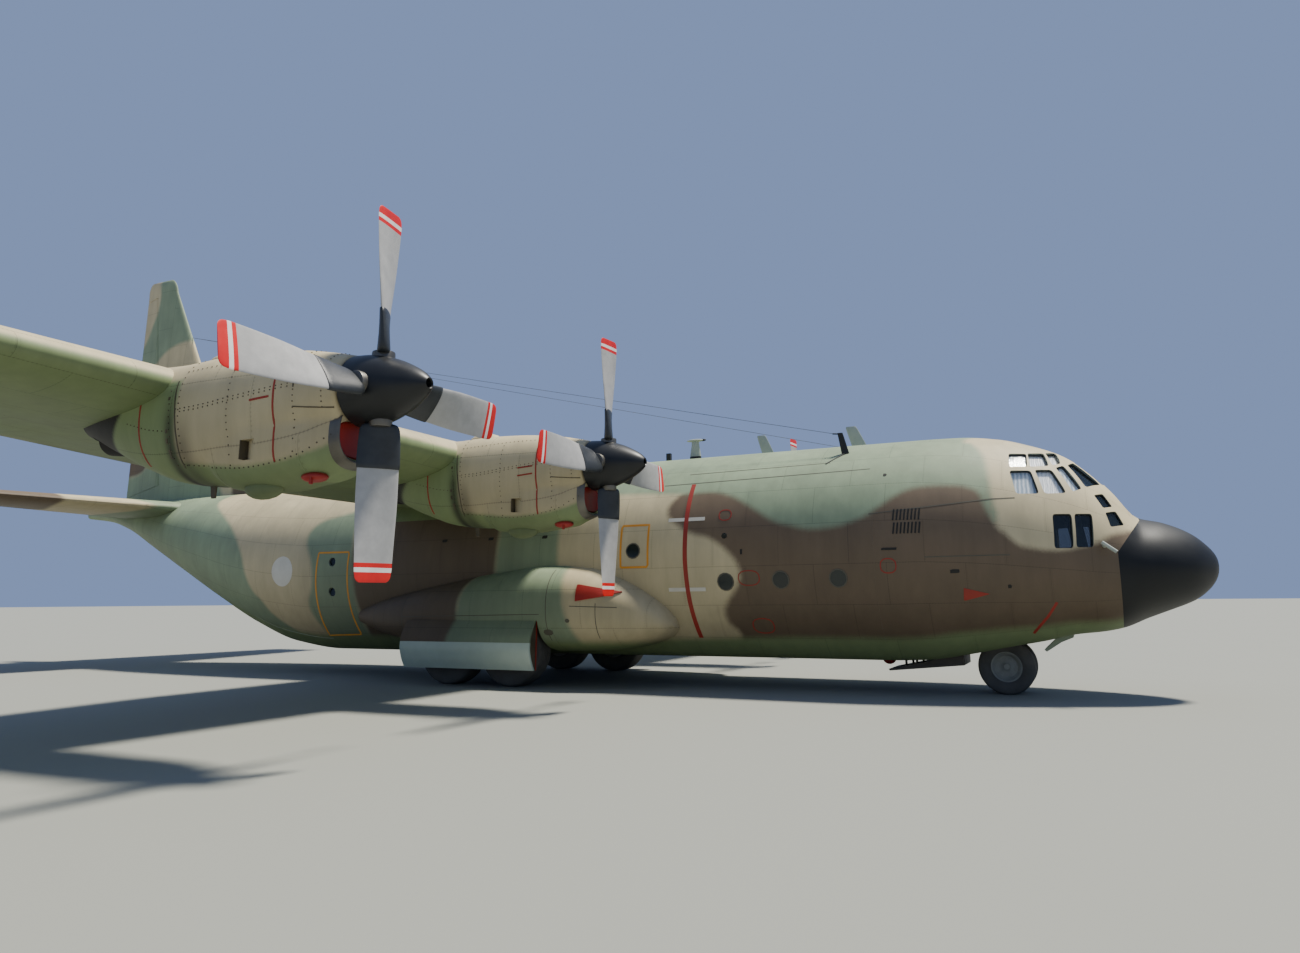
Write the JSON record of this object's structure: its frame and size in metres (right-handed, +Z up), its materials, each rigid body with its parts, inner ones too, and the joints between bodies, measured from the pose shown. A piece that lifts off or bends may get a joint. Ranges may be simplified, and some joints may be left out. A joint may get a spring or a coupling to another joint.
{
  "type": "four-turboprop military transport aircraft, 1:2 scale model",
  "caption": "High-wing military transport aircraft with turboprops, rear cargo ramp and camouflage paint, parked on its wheels, at half scale.",
  "frame": {"origin": "centre of the bounding box's bottom: on the ground, midway between nose tip and tail cone, on the centre line", "axes": "+X forward towards the nose, +Y to port across the wing span, +Z up"},
  "size_m": [14.895, 20.205, 5.83],
  "materials": {
    "sand_paint": "matte",
    "green_paint": "matte",
    "brown_paint": "matte",
    "underside_paint": "matte",
    "door_paint": "matte",
    "black_radome": "matte",
    "propeller_grey": "satin",
    "cabin_paint": "matte",
    "black_plastic": "matte",
    "seat_fabric": "matte",
    "window_glass": "gloss",
    "gear_steel": "satin",
    "tyre_rubber": "matte"
  },
  "bodies": {
    "airframe": {"radome": "black_radome", "forward_fuselage": "sand_paint", "centre_fuselage": "green_paint", "aft_fuselage": "green_paint", "cargo_floor": "cabin_paint", "flight_deck": "cabin_paint", "instrument_panel": "black_plastic", "crew_seat_left": "seat_fabric", "crew_seat_right": "seat_fabric", "cockpit_glass": "window_glass", "troop_door_left": "green_paint", "troop_door_right": "green_paint", "centre_wing": "sand_paint", "wing_left": "green_paint", "wing_right": "green_paint", "fin": "sand_paint", "tailplane_left": "brown_paint", "tailplane_right": "brown_paint", "nacelle_outer_left": "underside_paint", "nacelle_inner_left": "underside_paint", "nacelle_inner_right": "underside_paint", "nacelle_outer_right": "underside_paint", "sponson_left": "green_paint", "sponson_right": "green_paint", "main_gear_door_left": "underside_paint", "main_gear_door_right": "underside_paint", "main_legs_left": "gear_steel", "main_legs_right": "gear_steel", "nose_leg": "gear_steel", "nose_gear_door_front": "door_paint", "nose_gear_door_rear": "door_paint"},
    "propeller_outer_left": {"propeller_outer_left": "propeller_grey"},
    "propeller_inner_left": {"propeller_inner_left": "propeller_grey"},
    "propeller_inner_right": {"propeller_inner_right": "propeller_grey"},
    "propeller_outer_right": {"propeller_outer_right": "propeller_grey"},
    "main_wheel_front_left": {"main_wheel_front_left": "tyre_rubber"},
    "main_wheel_front_right": {"main_wheel_front_right": "tyre_rubber"},
    "main_wheel_rear_left": {"main_wheel_rear_left": "tyre_rubber"},
    "main_wheel_rear_right": {"main_wheel_rear_right": "tyre_rubber"},
    "nose_steering": {"nose_fork": "gear_steel"},
    "nose_wheels": {"nose_wheel_left": "tyre_rubber", "nose_wheel_right": "tyre_rubber"},
    "crew_door": {"crew_door": "sand_paint"},
    "cargo_ramp": {"cargo_ramp": "door_paint"},
    "cargo_door": {"cargo_door": "door_paint"},
    "rudder": {"rudder": "sand_paint"},
    "aileron_left": {"aileron_left": "green_paint"},
    "aileron_right": {"aileron_right": "green_paint"},
    "inner_flap_left": {"inner_flap_left": "brown_paint"},
    "inner_flap_right": {"inner_flap_right": "brown_paint"},
    "outer_flap_left": {"outer_flap_left": "brown_paint"},
    "outer_flap_right": {"outer_flap_right": "brown_paint"},
    "elevators": {"elevator_left": "brown_paint", "elevator_right": "brown_paint"}
  },
  "joints": [
    {"name": "propeller_outer_left_spin", "type": "hinge", "parent": "airframe", "child": "propeller_outer_left", "pos_m": [3.1125, 5.155, 1.95], "axis": [1, 0, 0], "continuous": true},
    {"name": "propeller_inner_left_spin", "type": "hinge", "parent": "airframe", "child": "propeller_inner_left", "pos_m": [3.1125, 2.58, 1.885], "axis": [1, 0, 0], "continuous": true},
    {"name": "propeller_inner_right_spin", "type": "hinge", "parent": "airframe", "child": "propeller_inner_right", "pos_m": [3.1125, -2.58, 1.885], "axis": [1, 0, 0], "continuous": true},
    {"name": "propeller_outer_right_spin", "type": "hinge", "parent": "airframe", "child": "propeller_outer_right", "pos_m": [3.1125, -5.155, 1.95], "axis": [1, 0, 0], "continuous": true},
    {"name": "main_wheel_front_left_roll", "type": "hinge", "parent": "airframe", "child": "main_wheel_front_left", "pos_m": [1.2575, 1.0875, 0.35196], "axis": [0, 1, 0], "continuous": true},
    {"name": "main_wheel_front_right_roll", "type": "hinge", "parent": "airframe", "child": "main_wheel_front_right", "pos_m": [1.2575, -1.0875, 0.35196], "axis": [0, 1, 0], "continuous": true},
    {"name": "main_wheel_rear_left_roll", "type": "hinge", "parent": "airframe", "child": "main_wheel_rear_left", "pos_m": [0.4975, 1.0875, 0.35196], "axis": [0, 1, 0], "continuous": true},
    {"name": "main_wheel_rear_right_roll", "type": "hinge", "parent": "airframe", "child": "main_wheel_rear_right", "pos_m": [0.4975, -1.0875, 0.35196], "axis": [0, 1, 0], "continuous": true},
    {"name": "nose_steering", "type": "hinge", "parent": "airframe", "child": "nose_steering", "pos_m": [5.7625, 0, 0.45], "axis": [0, 0, 1], "range_deg": [-60, 60]},
    {"name": "nose_wheels_roll", "type": "hinge", "parent": "nose_steering", "child": "nose_wheels", "pos_m": [5.7625, 0, 0.23299], "axis": [0, 1, 0], "continuous": true},
    {"name": "crew_door_hinge", "type": "hinge", "parent": "airframe", "child": "crew_door", "pos_m": [5.2725, 0.79, 0.5], "axis": [-1, 0, 0], "range_deg": [0, 102]},
    {"name": "cargo_ramp_hinge", "type": "hinge", "parent": "airframe", "child": "cargo_ramp", "pos_m": [-1.5528, 0, 0.29], "axis": [0, -1, 0], "range_deg": [0, 21.5]},
    {"name": "cargo_door_hinge", "type": "hinge", "parent": "airframe", "child": "cargo_door", "pos_m": [-5.0375, 0, 1.51], "axis": [0, -1, 0], "range_deg": [0, 25]},
    {"name": "rudder_hinge", "type": "hinge", "parent": "airframe", "child": "rudder", "pos_m": [-5.87159, 0, 2.53], "axis": [-0.1587, 0, 0.9873], "range_deg": [-35, 35]},
    {"name": "elevator_hinge", "type": "hinge", "parent": "airframe", "child": "elevators", "pos_m": [-5.9837, 0, 2.125], "axis": [0, 1, 0], "range_deg": [-15, 40]},
    {"name": "aileron_left_hinge", "type": "hinge", "parent": "airframe", "child": "aileron_left", "pos_m": [0.34978, 6.42, 2.08073], "axis": [0.1005, 0.9944, 0.0323], "range_deg": [-20, 20]},
    {"name": "aileron_right_hinge", "type": "hinge", "parent": "airframe", "child": "aileron_right", "pos_m": [0.34978, -6.42, 2.08073], "axis": [-0.1005, 0.9944, -0.0323], "range_deg": [-20, 20]},
    {"name": "inner_flap_left_track", "type": "hinge", "parent": "airframe", "child": "inner_flap_left", "pos_m": [0.03215, 1.1, 1.41777], "axis": [0, -1, 0], "range_deg": [0, 35]},
    {"name": "inner_flap_right_track", "type": "hinge", "parent": "airframe", "child": "inner_flap_right", "pos_m": [0.03215, -1.1, 1.41777], "axis": [0, -1, 0], "range_deg": [0, 35]},
    {"name": "outer_flap_left_track", "type": "hinge", "parent": "airframe", "child": "outer_flap_left", "pos_m": [0.03558, 2.83, 1.41889], "axis": [-0.0973, -0.9948, -0.0318], "range_deg": [0, 35]},
    {"name": "outer_flap_right_track", "type": "hinge", "parent": "airframe", "child": "outer_flap_right", "pos_m": [0.03558, -2.83, 1.41889], "axis": [0.0973, -0.9948, 0.0318], "range_deg": [0, 35]}
  ],
  "couplings": [
    {"joint": "aileron_right_hinge", "follows": "aileron_left_hinge", "ratio": -1},
    {"joint": "inner_flap_right_track", "follows": "outer_flap_left_track", "ratio": 1},
    {"joint": "inner_flap_left_track", "follows": "outer_flap_left_track", "ratio": 1},
    {"joint": "outer_flap_right_track", "follows": "outer_flap_left_track", "ratio": 1}
  ]
}
